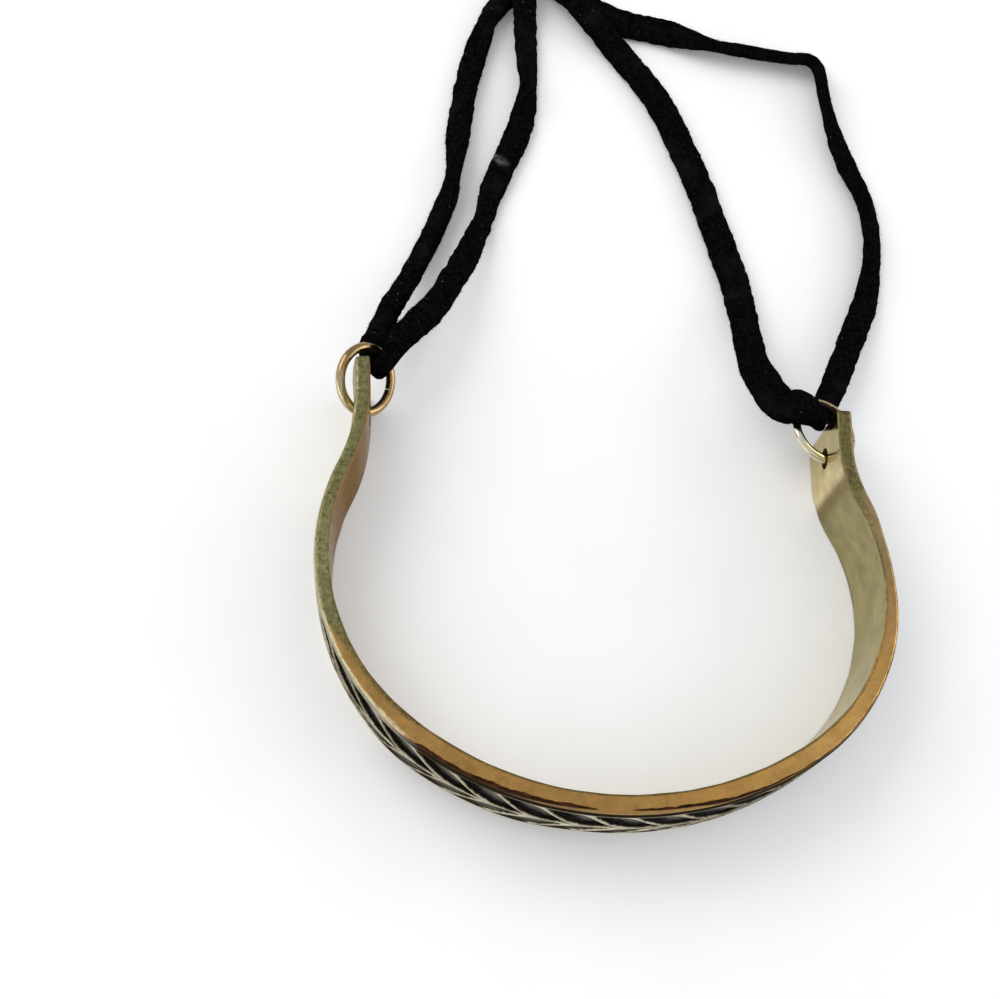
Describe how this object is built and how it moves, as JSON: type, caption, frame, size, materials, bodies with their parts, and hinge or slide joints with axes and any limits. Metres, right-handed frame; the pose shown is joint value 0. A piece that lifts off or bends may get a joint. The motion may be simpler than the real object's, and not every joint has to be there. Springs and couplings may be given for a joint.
{
  "type": "enamelled open cuff bracelet with lace tie",
  "caption": "Open brass cuff with a raised herringbone leaf pattern filled with dark enamel, a wire ring through each tip, and a black suede lace looped through each ring to tie it on.",
  "frame": {"origin": "under the middle of the metal, on the surface that the cuff's edge rests on", "axes": "+Z across the cuff's width, along the arm; +Y towards the open end; +X towards the tip with the pale ring"},
  "size_m": [0.0659, 0.1231, 0.0108],
  "materials": {
    "cuff_metal": "worn polished brass with olive-green patina on its edges",
    "enamel": "glossy opaque blue-black vitreous enamel",
    "left_ring_wire": "bronzed wire with dark patina on its inner side",
    "right_ring_wire": "bright pale wire",
    "lace": "matte black suede"
  },
  "bodies": {
    "root": {"cuff_band": "cuff_metal", "enamel_cells": "enamel", "left_ring": "left_ring_wire", "right_ring": "right_ring_wire", "left_lace_outer": "lace", "left_lace_inner": "lace", "right_lace_inner": "lace", "right_lace_outer": "lace", "lace_knot": "lace"}
  },
  "joints": []
}
